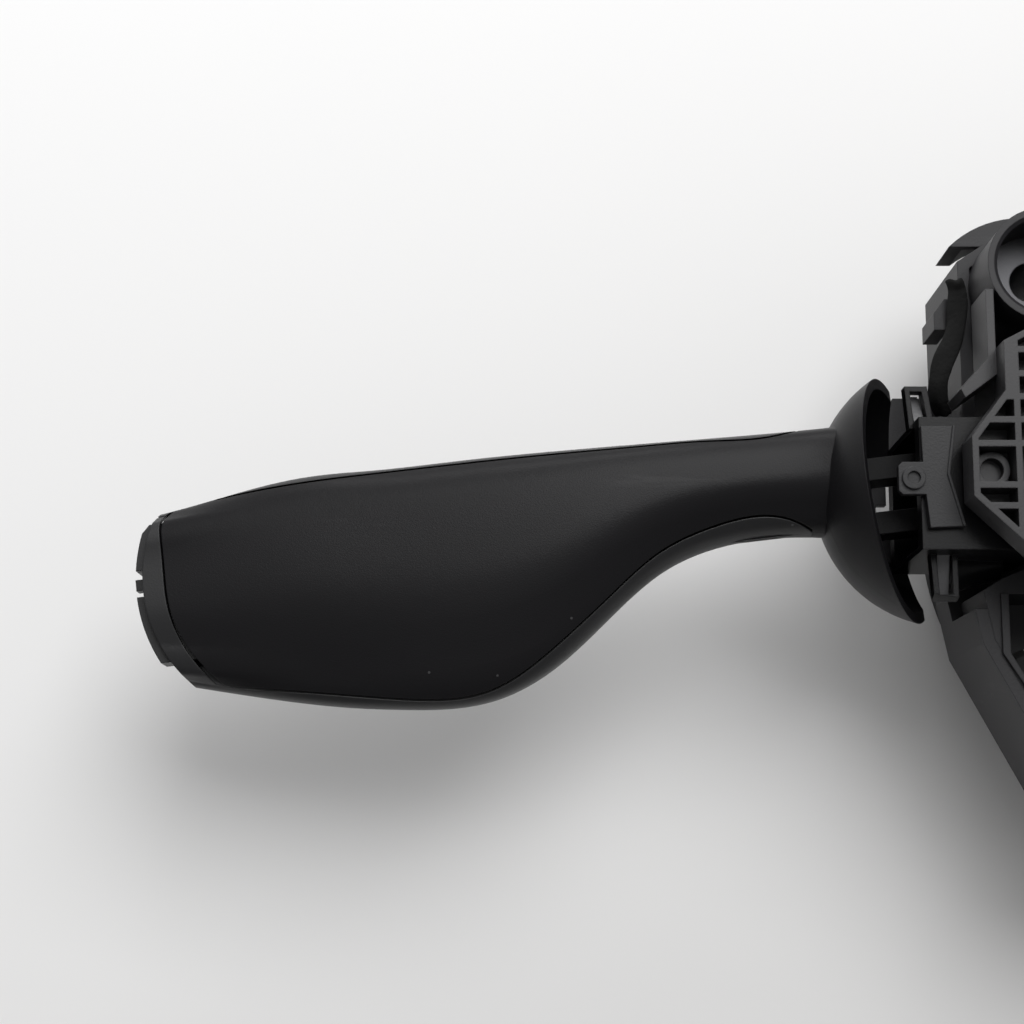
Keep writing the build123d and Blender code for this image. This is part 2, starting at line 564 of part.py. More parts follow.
def bracket_screws():
    """Four screws that hold the rear plate to the carrier."""
    screws = []
    for x in (-LEG_X, LEG_X):
        for y in (-LEG_Y, LEG_Y):
            head = disc(SCREW_HEAD_R, PLATE_TOP - SCREW_HEAD_H, PLATE_TOP, x, y)
            screws.append(head + disc(SCREW_R, FLOOR_TOP, PLATE_TOP - SCREW_HEAD_H, x, y))
    return Compound(screws)


def tower_sleeves():
    """Steel sleeves in the two mounting towers."""
    sleeve = ring(BOLT_HOLE_R + SLEEVE_WALL, BOLT_HOLE_R, CASE_H, TOWER_SEAT_Z)
    flange = ring(TOWER_R - TOWER_WALL, BOLT_HOLE_R, TOWER_SEAT_Z, TOWER_SEAT_Z + SLEEVE_WALL)
    one = sleeve + flange
    return Compound([Pos(-TOWER_X, TOWER_Y, 0) * one, Pos(TOWER_X, TOWER_Y, 0) * one])


def socket_outline(grow):
    """Outline of the left harness socket, grown outward by grow."""
    out_x = -SOCKET_OUT_X - grow
    low_y = SOCKET_LOW_Y - grow
    return [(out_x, SOCKET_TOP_Y), (out_x, SOCKET_LOW_Y + SOCKET_CUT[1]),
            (-SOCKET_OUT_X + SOCKET_CUT[0], low_y), (-SOCKET_IN_X + grow, low_y),
            (-SOCKET_IN_X + grow, SOCKET_TOP_Y)]


def connector_header():
    """Lower housing with the harness recess, open to the rear."""
    inside = carrier_prism(WALL, FLOOR_TOP, HEADER_TOP)
    top_y = -BODY_DOWN - 2 * SEAT_GAP
    keep = block(-ARCH_R, ARCH_R, -ARCH_R, top_y, FLOOR_TOP, HEADER_TOP)
    body = inside & keep
    body -= disc(HUB_R + ROTOR_GAP, FLOOR_TOP, HEADER_TOP)
    leg_room = LEG_X + LEG_R + SEAT_GAP
    body -= block(-leg_room, leg_room, -LEG_Y - LEG_R - SEAT_GAP, 0, FLOOR_TOP, HEADER_TOP)
    bay = [(-ARCH_R, -BAY_BOTTOM), (-HEADER_BAY_X - HEADER_BAY_CUT[1], -BAY_BOTTOM),
           (-HEADER_BAY_X - HEADER_BAY_CUT[0], top_y - HEADER_BAY_DROP), (-HEADER_BAY_X, top_y),
           (-HEADER_BAY_X, 0), (-ARCH_R, 0)]
    body -= both_sides(prism(bay, FLOOR_TOP, HEADER_TOP))
    body -= block(-ARCH_R, ARCH_R, -ARCH_R, HEADER_STEP_Y, HEADER_STEP_Z, HEADER_TOP)
    body += both_sides(prism(socket_outline(RIM_T), HEADER_TOP, HEADER_TOP + RIM_RISE))
    body -= both_sides(prism(socket_outline(0), FLOOR_TOP + HEADER_FLOOR, HEADER_TOP + RIM_RISE))
    return body


def connector_pins():
    """Contact blades in the harness recess."""
    pins = []
    y = (SOCKET_TOP_Y + SOCKET_LOW_Y) / 2
    z = FLOOR_TOP + HEADER_FLOOR
    for sign in (-1, 1):
        for i in range(PIN_COUNT):
            x = sign * (SOCKET_IN_X + PIN_PITCH * (i + 1))
            pins.append(block(x - PIN_T / 2, x + PIN_T / 2, y - PIN_T / 2, y + PIN_T / 2, z, z + PIN_LEN))
    return Compound(pins)


def build_module():
    """Pieces of the central module."""
    NODES["clock_spring_case"] = clock_spring_case()
    NODES["clock_spring_rotor"] = clock_spring_rotor()
    NODES["rotor_socket"] = rotor_socket()
    NODES["flat_cable"] = flat_cable()
    NODES["code_gear"] = code_gear()
    NODES["measuring_gear_a"] = measuring_gear(0)
    NODES["measuring_gear_b"] = measuring_gear(1)
    NODES["sensor_board"] = sensor_board()
    NODES["switch_carrier"] = switch_carrier()
    NODES["column_bracket"] = column_bracket()
    NODES["bracket_screws"] = bracket_screws()
    NODES["tower_sleeves"] = tower_sleeves()
    NODES["connector_header"] = connector_header()
    NODES["connector_pins"] = connector_pins()


# --- fixed stalk pieces (stalk frame without droop) -------------------------------------
def loop_outline(grow, upper):
    """Outline of a snap loop's opening, grown outward by grow; the upper or the lower one."""
    root, end = (UPPER_LOOP_ROOT, UPPER_LOOP_END) if upper else (LOWER_LOOP_ROOT, LOWER_LOOP_END)
    sign = -1 if upper else 1
    reach = BODY_UP if upper else BODY_DOWN
    y_root = sign * (reach - LOOP_BAR)
    y_end = sign * (reach + (UPPER_LOOP_LEN if upper else LOWER_LOOP_LEN) + grow)
    return [(root[0] - grow, y_root), (root[1] + grow, y_root), (end[1] + grow, y_end),
            (end[0] - grow, y_end)]


def snap_wedges():
    """Sloped catches of the carrier side that sit inside the two snap loops."""
    wedges = []
    for upper in (True, False):
        sign = -1 if upper else 1
        reach = BODY_UP if upper else BODY_DOWN
        outline = loop_outline(-WEDGE_GAP, upper)
        body = prism(outline, WEDGE_LOW, WEDGE_HIGH)
        far = reach + (UPPER_LOOP_LEN if upper else LOWER_LOOP_LEN)
        profile = [(sign * reach, WEDGE_LOW), (sign * far, WEDGE_LOW), (sign * far, WEDGE_TIP),
                   (sign * reach, WEDGE_HIGH)]
        side = make_face(Polyline(*[(0, y, z) for y, z in profile], close=True))
        wedges.append(body & extrude(side, amount=BODY_IN, both=True))
    return Compound(wedges)


def switch_body():
    """Box that carries the gimbal between two bearing walls, with barrel and snap loops."""
    body = block(-BODY_IN, BODY_OUT, -BODY_UP, BODY_DOWN, BODY_LOW_Z, BODY_HIGH_Z)
    cone = Cone(BARREL_END_R, BARREL_R, BARREL_LEN - WALL,
                align=(Align.CENTER, Align.CENTER, Align.MIN))
    body += Pos(-BARREL_BACK, BARREL_Y, BARREL_Z) * Rot(0, 90, 0) * cone
    outside = block(-BODY_IN, BODY_OUT, -BODY_UP, BODY_DOWN, BODY_LOW_Z, BODY_HIGH_Z)
    for upper in (True, False):
        body += prism(loop_outline(LOOP_BAR, upper), LOOP_LOW, LOOP_HIGH)
        body -= prism(loop_outline(0, upper), LOOP_LOW, LOOP_HIGH) - outside
        body -= prism(loop_outline(0, upper), BARREL_Z, LOOP_LOW) - outside
    low = BODY_LOW_Z + BEARING_T
    high = BODY_HIGH_Z - BEARING_T
    mouth = BODY_OUT + 1.0
    cavity = [(mouth, -CAVITY_HALF - CAVITY_FLARE[0]), (-BODY_IN, -CAVITY_HALF),
              (-BODY_IN, CAVITY_HALF), (STUB_R, CAVITY_HALF), (mouth, CAVITY_HALF + CAVITY_FLARE[1])]
    body -= prism(cavity, low, high)
    body -= disc(STUB_R + RUN_FIT, BODY_LOW_Z, BODY_HIGH_Z - BEARING_SKIN)
    return body & Sphere(BALL_R)


def retainer():
    """Clamp plate with a creased edge and a neck boss."""
    z0 = BODY_HIGH_Z
    z1 = z0 + RETAINER_T
    neck = [(NECK_IN_X, NECK_BOTTOM), (NECK_OUT_X - NECK_CORNER, NECK_BOTTOM),
            (NECK_OUT_X, NECK_BOTTOM - NECK_CORNER), (NECK_OUT_X, NECK_TOP + NECK_CORNER),
            (NECK_OUT_X - NECK_CORNER, NECK_TOP), (NECK_IN_X, NECK_TOP)]
    plate = prism(list(RETAINER_OUTER) + list(RETAINER_CREASE), z0, z1) + prism(neck, z0, z1)
    lip = [(x + RETAINER_LIP, y) for x, y in reversed(RETAINER_CREASE)]
    plate += prism(list(RETAINER_CREASE) + lip, z1, z1 + RETAINER_LIP)
    boss_x = NECK_OUT_X - BOSS_BACK
    boss_y = (NECK_TOP + NECK_BOTTOM) / 2
    plate += disc(BOSS_OUT_R, z1, z1 + BOSS_H, boss_x, boss_y)
    return plate - disc(BOSS_IN_R, z1, z1 + BOSS_H, boss_x, boss_y)


def detent_block():
    """Block with the notched running surface for the detent plunger."""
    body = block(-DETENT_BACK, -BODY_IN, -DETENT_HALF, DETENT_HALF, BODY_LOW_Z, BODY_HIGH_Z - BEARING_T)
    body -= Sphere(DETENT_R)
    for step in (-1, 0, 1):
        angle = math.radians(180 + step * NOTCH_ANGLE + LEVER_DROOP)
        x = DETENT_R * math.cos(angle)
        y = DETENT_R * math.sin(angle)
        body -= disc(NOTCH_R, -ARM_HALF_Z, ARM_HALF_Z, x, y)
    return body


def felt_strip():
    """Felt strip on the outer wall of the carrier above the bay."""
    x = CARRIER_HALF_W
    return block(-x - FELT_T, -x, BAY_TOP + FELT_T, STRUT_LEN + FELT_RISE, FELT_LOW_Z, CARRIER_TOP)


def latch():
    """Snap latch on the felt of the outer wall, with a ramp on its upper side."""
    x = -CARRIER_HALF_W - FELT_T
    low = LATCH_LOW_Y
    high = LATCH_LOW_Y + 2 * LATCH_HALF
    outline = [(x, low), (x - LATCH_T, low), (x - LATCH_T, high - LATCH_T), (x - FELT_T / 2, high),
               (x, high)]
    return prism(outline, FELT_LOW_Z, CARRIER_TOP - LATCH_T)


# --- moving stalk pieces (stalk frame, x along the lever) --------------------------------
def gimbal_block():
    """Block with the two upright trunnions."""
    body = block(-GIMBAL_HALF_X, GIMBAL_HALF_X, -GIMBAL_HALF_Y, GIMBAL_HALF_Y,
                 -GIMBAL_HALF_Z, GIMBAL_HALF_Z)
    body += disc(STUB_R, BODY_LOW_Z + RUN_FIT, BODY_HIGH_Z - BEARING_SKIN - RUN_FIT)
    return body - cross_pin()


def cross_pin():
    """Pin through the gimbal block that the lever tilts on."""
    return Rot(90, 0, 0) * Cylinder(CROSS_R, 2 * ARM_OUT)


def core_bar(grow=0.0):
    """Carrier bar that runs inside the lever."""
    half_y = CORE_HALF_Y + grow
    half_z = CORE_HALF_Z + grow
    return block(ARM_ROOT_X, CORE_END, -half_y, half_y, -half_z, half_z)


def lever_core():
    """Fork, tail and carrier bar of the lever in one moulding."""
    root_end = ARM_ROOT_X + ARM_ROOT_T
    body = core_bar() + block(ARM_ROOT_X, root_end, -ARM_OUT, ARM_OUT, -ARM_HALF_Z, ARM_HALF_Z)
    for y in ROOT_TAB_Y:
        body += block(ARM_ROOT_X, root_end, y, y + ROOT_TAB_W, 0, ROOT_TAB_Z)
    for low, high in ((-ARM_OUT, -ARM_IN), (ARM_IN, ARM_OUT)):
        body += block(-ARM_BACK, root_end, low, high, -ARM_HALF_Z, ARM_HALF_Z)
    body += block(-ARM_BACK - ARM_ROOT_T, -ARM_BACK, -TAIL_HALF, TAIL_HALF, -ARM_HALF_Z, ARM_HALF_Z)
    tail = Rot(0, 90, 0) * Cylinder(PLUNGER_R + TAIL_WALL, TAIL_LEN)
    body += Pos(-ARM_BACK - TAIL_LEN / 2, 0, 0) * tail
    bore = Rot(0, 90, 0) * Cylinder(PLUNGER_R + RUN_FIT, TAIL_LEN)
    body -= Pos(-ARM_BACK - TAIL_LEN / 2 - TAIL_SKIN, 0, 0) * bore
    body -= Rot(90, 0, 0) * Cylinder(CROSS_R + RUN_FIT, 2 * ARM_OUT)
    return body


def detent_plunger():
    """Round-nosed plunger in the tail of the lever."""
    length = PLUNGER_LEN - PLUNGER_R
    pin = Rot(0, 90, 0) * Cylinder(PLUNGER_R, length)
    pin = Pos(-PLUNGER_TIP_X + PLUNGER_R + length / 2, 0, 0) * pin
    return pin + Pos(-PLUNGER_TIP_X + PLUNGER_R, 0, 0) * Sphere(PLUNGER_R)


def section(station):
    """Closed lever section at one station, crowned with a soft ridge."""
    x, top, bottom, half_t = station
    centre = (top + bottom) / 2
    half_w = (bottom - top) / 2
    points = [(x, centre + half_w * across, half_t * up) for across, up in SECTION_SHARES]
    return make_face(Spline(*points, periodic=True))


def lever_form():
    """Outer form of the lever blade, with its rounded end."""
    form = loft([section(s) for s in STATIONS])
    centre_x = LEVER_LEN - TIP_ARC_R
    end = disc(TIP_ARC_R, -DEEP, DEEP, centre_x, TIP_ARC_Y)
    end += block(0, centre_x + TIP_ARC_R / 3, -DEEP, DEEP, -DEEP, DEEP)
    return form & end


def shroud():
    """Ball shroud at the root of the lever, closed to the front, with a leaning open rim."""
    inner = SHROUD_R - SHROUD_WALL
    window = block(SHROUD_RIM_X, SHROUD_R, -SHROUD_HALF_Y, SHROUD_HALF_Y, -SHROUD_FRONT_Z, SHROUD_R)
    window &= Rot(0, SHROUD_TILT, 0) * block(SHROUD_CUT, DEEP, -DEEP, DEEP, -DEEP, DEEP)
    shell = (Sphere(SHROUD_R) - Sphere(inner)) & window
    front = Sphere(SHROUD_R) & block(FRONT_WALL_X, SHROUD_R, -SHROUD_HALF_Y, SHROUD_HALF_Y,
                                     -SHROUD_FRONT_Z, SHROUD_WALL - SHROUD_FRONT_Z)
    return shell + front


def insert_face(grow):
    """Outline of the rear cover insert, grown outward by grow."""
    start = ROOT_X + GROOVE_START
    full = start + GROOVE_RUN
    root, collar = STATIONS[:2]
    upper = [(root[0], collar[1] - TOP_BAND - grow), (start, collar[1] - grow),
             (full, collar[1] + TOP_BAND - grow)]
    lower = [(root[0], collar[2] + NECK_BAND + grow), (start, collar[2] + grow),
             (full, collar[2] - NECK_BAND + grow)]
    bands = (NECK_BAND, NECK_BAND, NECK_BAND, NECK_BAND, NECK_BAND, LOW_BAND, LOW_BAND, LOW_BAND)
    for band, (x, top, bottom, half) in zip(bands[1:], STATIONS[2:-1]):
        upper.append((x, top + TOP_BAND - grow))
        lower.append((x, bottom - band + grow))
    end_x = LEVER_LEN - TIP_BAND + grow
    corner = INSERT_CORNER
    crown = (end_x - corner[0], upper[-1][1] + corner[1])
    brow = (end_x, upper[-1][1] + corner[2])
    chin = (end_x, TIP_ARC_Y)
    heel = (end_x - corner[3], lower[-1][1] - corner[4] + grow)
    end = [Spline(*upper, crown), Spline(crown, brow, tangents=((1, 0.1), (0, 1))), Line(brow, chin)]
    sole = Spline(*reversed([*lower, heel]))
    foot = Spline(chin, heel, tangents=((0, 1), (-1, 1.1)))
    close = Line(lower[0], upper[0])
    return make_face([*end, foot, sole, close])


def insert_prism(grow, z0):
    """Space of the rear cover insert above z0."""
    return Pos(0, 0, z0) * extrude(insert_face(grow), amount=DEEP)


def rocker_pocket():
    """Room for the rocker, its hinge pins and the button in the blade."""
    room = block(ROCKER_BACK_X - ROCKER_ROOM, FAR, -ROCKER_UP - ROCKER_ROOM,
                 ROCKER_DOWN + ROCKER_ROOM, -ROCKER_HALF_Z - SEAT_GAP, ROCKER_HALF_Z + SEAT_GAP)
    half = BUTTON_FOOT + SEAT_GAP
    tall = BUTTON_HALF_Z + SEAT_GAP
    room += block(CORE_END, ROCKER_BACK_X, -half, half, -tall, tall)
    reach = ROCKER_HALF_Z + ROCKER_PIN_LEN + RUN_FIT
    return room + disc(ROCKER_PIN_R + RUN_FIT, -reach, reach, ROCKER_HINGE_X, 0)


def lever_covers(form, ball):
    """Rear cover, mid frame and front cover from the common form."""
    inner = Sphere(SHROUD_R - SHROUD_WALL)
    room = rocker_pocket() + core_bar()
    above = block(0, FAR, -FAR, FAR, SHROUD_SEAM_Z, FAR)
    below = block(0, FAR, -FAR, FAR, -FAR, SHROUD_SEAM_Z)
    join_x = SHROUD_R + NECK_JOIN
    rear_zone = insert_prism(0, REAR_SEAM_Z) + block(0, join_x, -FAR, FAR, REAR_SEAM_Z, FAR)
    rear = (form & rear_zone) - (Sphere(SHROUD_R) & below)
    rear = rear + (ball & above) - inner - room
    mid = form & block(join_x, FAR, -FAR, FAR, FRONT_SEAM_Z, FAR)
    mid = mid - insert_prism(GROOVE, REAR_SEAM_Z) - room
    front_zone = block(0, FAR, -FAR, FAR, -FAR, FRONT_SEAM_Z)
    front_zone += block(0, join_x, -FAR, FAR, -FAR, REAR_SEAM_Z)
    depth = FRONT_SEAM_Z - FRONT_POCKET_Z
    pocket = Pos(0, 0, FRONT_POCKET_Z) * extrude(insert_face(-FRONT_WALL), amount=depth)
    pocket &= block(join_x + FRONT_WALL, ROCKER_BACK_X - 2 * FRONT_WALL, -FAR, FAR, -FAR, FAR)
    front = (form & front_zone) + (ball & below)
    front = front - inner - room - pocket
    return rear, mid, front


def tip_rocker():
    """Two-winged rocker at the blade end, slotted for the button."""
    centre_x = LEVER_LEN - TIP_ARC_R
    plan = disc(TIP_ARC_R + ROCKER_OUT, -ROCKER_HALF_Z, ROCKER_HALF_Z, centre_x, TIP_ARC_Y)
    keep = [(ROCKER_BACK_X, -ROCKER_UP), (LEVER_LEN - ROCKER_OUT, -ROCKER_UP),
            (LEVER_LEN + ROCKER_OUT, -ROCKER_UP + 2 * ROCKER_OUT), (LEVER_LEN + ROCKER_OUT, ROCKER_DOWN),
            (ROCKER_BACK_X, ROCKER_DOWN)]
    body = plan & prism(keep, -ROCKER_HALF_Z, ROCKER_HALF_Z)
    tall = BUTTON_HALF_Z + SEAT_GAP
    web_end = ROCKER_HINGE_X + 2 * ROCKER_PIN_R
    body -= block(0, web_end, -ROCKER_CHANNEL, ROCKER_CHANNEL, -tall, tall)
    body -= block(web_end, FAR, -ROCKER_CHANNEL, ROCKER_CHANNEL, -DEEP, DEEP)
    for z0 in (tall, -ROCKER_HALF_Z - ROCKER_PIN_LEN):
        pin_len = ROCKER_HALF_Z + ROCKER_PIN_LEN - tall
        body += disc(ROCKER_PIN_R, z0, z0 + pin_len, ROCKER_HINGE_X, 0)
    return body


def tip_button():
    """Push button in the middle of the blade end, with its foot."""
    nub = block(BUTTON_BACK_X, LEVER_LEN + BUTTON_OUT, -BUTTON_HALF_Y, BUTTON_HALF_Y,
                -BUTTON_HALF_Z, BUTTON_HALF_Z)
    foot = block(BUTTON_BACK_X, BUTTON_BACK_X + FOOT_LEN, -BUTTON_FOOT, BUTTON_FOOT,
                 -BUTTON_HALF_Z, BUTTON_HALF_Z)
    return nub + foot


def tip_switch():
    """Small switch that the button presses, at the end of the carrier bar."""
    return block(CORE_END, BUTTON_BACK_X - BUTTON_TRAVEL - SEAT_GAP, -BUTTON_FOOT, BUTTON_FOOT,
                 -BUTTON_HALF_Z, BUTTON_HALF_Z)


def build_stalks():
    """Pieces of both stalks; the right one mirrors the left one."""
    fixed = {"switch_body": switch_body(), "retainer": retainer(), "detent_block": detent_block(),
             "snap_wedges": snap_wedges()}
    rear, mid, front = lever_covers(lever_form(), shroud())
    moving = {"gimbal_block": gimbal_block(), "cross_pin": cross_pin(), "lever_core": lever_core(),
              "rear_cover": rear, "mid_frame": mid, "front_cover": front,
              "detent_plunger": detent_plunger(), "tip_rocker": tip_rocker(),
              "tip_button": tip_button(), "tip_switch": tip_switch()}
    turn = Pos(-PIVOT_X, 0, PIVOT_Z) * Rot(0, 0, 180)
    lever = turn * Rot(0, 0, LEVER_DROOP)
    placed = {name: turn * shape for name, shape in fixed.items()}
    placed.update({name: lever * shape for name, shape in moving.items()})
    placed["felt_strip"] = felt_strip()
    placed["latch"] = latch()
    for name, shape in placed.items():
        NODES["left_" + name] = shape
        NODES["right_" + name] = mirror(shape, about=Plane.YZ)


build_module()
build_stalks()
os.makedirs("parts", exist_ok=True)
for name, shape in NODES.items():
    export_step(shape, os.path.join("parts", name + ".step"))
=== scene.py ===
"""Looks of a combination stalk switch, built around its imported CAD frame.

Everything is in metres, in the frame of the CAD model: origin on the column axis at the front
rim, +Z towards the rear bracket, +X towards the right lever.
"""

import json
import logging
import math
from dataclasses import dataclass
from enum import Enum
from typing import Callable

import bpy
from mathutils import Matrix, Vector


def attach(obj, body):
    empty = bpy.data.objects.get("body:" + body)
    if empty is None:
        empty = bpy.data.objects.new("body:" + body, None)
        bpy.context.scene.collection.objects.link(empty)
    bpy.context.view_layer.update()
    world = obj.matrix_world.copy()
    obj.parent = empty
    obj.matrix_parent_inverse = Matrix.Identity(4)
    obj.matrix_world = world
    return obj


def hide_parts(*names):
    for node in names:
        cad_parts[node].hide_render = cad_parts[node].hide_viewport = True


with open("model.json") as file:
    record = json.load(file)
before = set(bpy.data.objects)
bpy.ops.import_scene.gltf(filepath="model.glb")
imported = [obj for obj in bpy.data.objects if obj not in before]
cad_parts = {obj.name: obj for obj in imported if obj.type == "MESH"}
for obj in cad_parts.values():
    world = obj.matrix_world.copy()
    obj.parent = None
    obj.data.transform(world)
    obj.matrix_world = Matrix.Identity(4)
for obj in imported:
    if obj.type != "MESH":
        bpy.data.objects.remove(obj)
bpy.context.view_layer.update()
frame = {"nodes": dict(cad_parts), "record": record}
log = logging.getLogger("stalk_switch")

MM = 0.001                              # one millimetre in scene units
EDGE_RADIUS = 0.25 * MM                 # moulded edges
GRAIN_HEIGHT = 0.2 * MM                 # height that full grain would have
COAT_ROUGHNESS = 0.15
SCUFF_STRENGTH = 0.25                   # share of the paler tone in a scuff
SCUFF_POLISH = -0.08                    # change of roughness in a scuff
DUST_STRENGTH = 0.6                     # share of the speck's tone in a speck
STEP = 1e-6                             # slack when faces are chosen by height
SENSOR_WIDTH = 36.0                     # of the camera, millimetres
LAMP_TARGET = Vector((-0.08, 0.0, 0.03))
WHITE = (1.0, 1.0, 1.0, 1.0)


# --- shader node groups -----------------------------------------------------------------
class Effect(Enum):
    """Shared surface effects, each a shader node group."""

    GRAIN = "moulded_grain"
    DUST = "dust_specks"
    SCUFF = "fine_scuffs"
    EDGE = "soft_edge"


def new_group(effect: Effect, inputs: dict[str, float], outputs: list[str]) -> bpy.types.NodeTree:
    """Make an empty node group with float inputs and outputs.

    Args:
        effect: the effect that the group is named after.
        inputs: socket names with their default values.
        outputs: names of the float outputs.

    Returns:
        The node group, with its input and output nodes in place.
    """
    tree = bpy.data.node_groups.new(effect.value, "ShaderNodeTree")
    for name, value in inputs.items():
        socket = tree.interface.new_socket(name=name, in_out="INPUT", socket_type="NodeSocketFloat")
        socket.default_value = value
    for name in outputs:
        tree.interface.new_socket(name=name, in_out="OUTPUT", socket_type="NodeSocketFloat")
    tree.nodes.new("NodeGroupInput").name = "in"
    tree.nodes.new("NodeGroupOutput").name = "out"
    return tree


def add_math(tree: bpy.types.NodeTree, operation: str, a: object, b: object) -> bpy.types.NodeSocket:
    """Add a Math node and return its result.

    Args:
        tree: the tree that gets the node.
        operation: Blender's name of the operation.
        a: first operand, a socket or a number.
        b: second operand, a socket or a number.

    Returns:
        The node's output socket.
    """
    node = tree.nodes.new("ShaderNodeMath")
    node.operation = operation
    for index, value in enumerate((a, b)):
        if isinstance(value, (int, float)):
            node.inputs[index].default_value = value
        else:
            tree.links.new(value, node.inputs[index])
    return node.outputs[0]


def add_ramp(tree: bpy.types.NodeTree, value: bpy.types.NodeSocket, low: float,
             high: float) -> bpy.types.NodeSocket:
    """Map a value from low..high to 0..1, clamped.

    Args:
        tree: the tree that gets the node.
        value: the value to map.
        low: value that becomes 0.
        high: value that becomes 1.

    Returns:
        The mapped value's socket.
    """
    node = tree.nodes.new("ShaderNodeMapRange")
    node.inputs["From Min"].default_value = low
    node.inputs["From Max"].default_value = high
    tree.links.new(value, node.inputs["Value"])
    return node.outputs["Result"]


def build_grain() -> bpy.types.NodeTree:
    """Build the fine grain of a moulded surface: a height and a slow tone variation.

    Returns:
        The node group.
    """
    tree = new_group(Effect.GRAIN, {"Scale": 3000.0}, ["Height", "Tone"])
    coords = tree.nodes.new("ShaderNodeTexCoord")
    fine = tree.nodes.new("ShaderNodeTexNoise")
    fine.inputs["Detail"].default_value = 3.0
    tree.links.new(coords.outputs["Object"], fine.inputs["Vector"])
    tree.links.new(tree.nodes["in"].outputs["Scale"], fine.inputs["Scale"])
    slow = tree.nodes.new("ShaderNodeTexNoise")
    slow.inputs["Scale"].default_value = 35.0
    slow.inputs["Detail"].default_value = 2.0
    tree.links.new(coords.outputs["Object"], slow.inputs["Vector"])
    tree.links.new(fine.outputs["Fac"], tree.nodes["out"].inputs["Height"])
    tree.links.new(slow.outputs["Fac"], tree.nodes["out"].inputs["Tone"])
    return tree


def build_dust() -> bpy.types.NodeTree:
    """Build sparse light specks, as dust on a handled surface.

    Returns:
        The node group.
    """
    tree = new_group(Effect.DUST, {"Scale": 260.0, "Size": 0.055, "Amount": 0.5}, ["Mask"])
    coords = tree.nodes.new("ShaderNodeTexCoord")
    cells = tree.nodes.new("ShaderNodeTexVoronoi")
    tree.links.new(coords.outputs["Object"], cells.inputs["Vector"])
    tree.links.new(tree.nodes["in"].outputs["Scale"], cells.inputs["Scale"])
    near = add_math(tree, "LESS_THAN", cells.outputs["Distance"], tree.nodes["in"].outputs["Size"])
    split = tree.nodes.new("ShaderNodeSeparateColor")
    tree.links.new(cells.outputs["Color"], split.inputs["Color"])
    chosen = add_math(tree, "LESS_THAN", split.outputs[0], tree.nodes["in"].outputs["Amount"])
    mask = add_math(tree, "MULTIPLY", near, chosen)
    tree.links.new(mask, tree.nodes["out"].inputs["Mask"])
    return tree


def build_scuff() -> bpy.types.NodeTree:
    """Build faint long scuffs from stretched noise.

    Returns:
        The node group.
    """
    tree = new_group(Effect.SCUFF, {"Scale": 60.0}, ["Mask"])
    coords = tree.nodes.new("ShaderNodeTexCoord")
    place = tree.nodes.new("ShaderNodeMapping")
    place.inputs["Scale"].default_value = (0.25, 3.0, 1.0)
    place.inputs["Rotation"].default_value = (0.0, 0.0, 0.4)
    tree.links.new(coords.outputs["Object"], place.inputs["Vector"])
    noise = tree.nodes.new("ShaderNodeTexNoise")
    noise.inputs["Detail"].default_value = 6.0
    noise.inputs["Roughness"].default_value = 0.7
    tree.links.new(place.outputs["Vector"], noise.inputs["Vector"])
    tree.links.new(tree.nodes["in"].outputs["Scale"], noise.inputs["Scale"])
    tree.links.new(add_ramp(tree, noise.outputs["Fac"], 0.62, 0.75), tree.nodes["out"].inputs["Mask"])
    return tree


def build_edge() -> bpy.types.NodeTree:
    """Build soft moulded edges: a rounded normal, and a mask of where it differs that places the painted edge
    highlight.

    Returns:
        The node group.
    """
    tree = new_group(Effect.EDGE, {"Radius": EDGE_RADIUS}, ["Mask"])
    tree.interface.new_socket(name="Normal", in_out="OUTPUT", socket_type="NodeSocketVector")
    bevel = tree.nodes.new("ShaderNodeBevel")
    bevel.samples = 4
    tree.links.new(tree.nodes["in"].outputs["Radius"], bevel.inputs["Radius"])
    face = tree.nodes.new("ShaderNodeNewGeometry")
    dot = tree.nodes.new("ShaderNodeVectorMath")
    dot.operation = "DOT_PRODUCT"
    tree.links.new(bevel.outputs["Normal"], dot.inputs[0])
    tree.links.new(face.outputs["Normal"], dot.inputs[1])
    turned = add_math(tree, "SUBTRACT", 1.0, dot.outputs["Value"])
    tree.links.new(add_ramp(tree, turned, 0.02, 0.25), tree.nodes["out"].inputs["Mask"])
    tree.links.new(bevel.outputs["Normal"], tree.nodes["out"].inputs["Normal"])
    return tree


EFFECTS = {Effect.GRAIN: build_grain(), Effect.DUST: build_dust(), Effect.SCUFF: build_scuff(),
           Effect.EDGE: build_edge()}


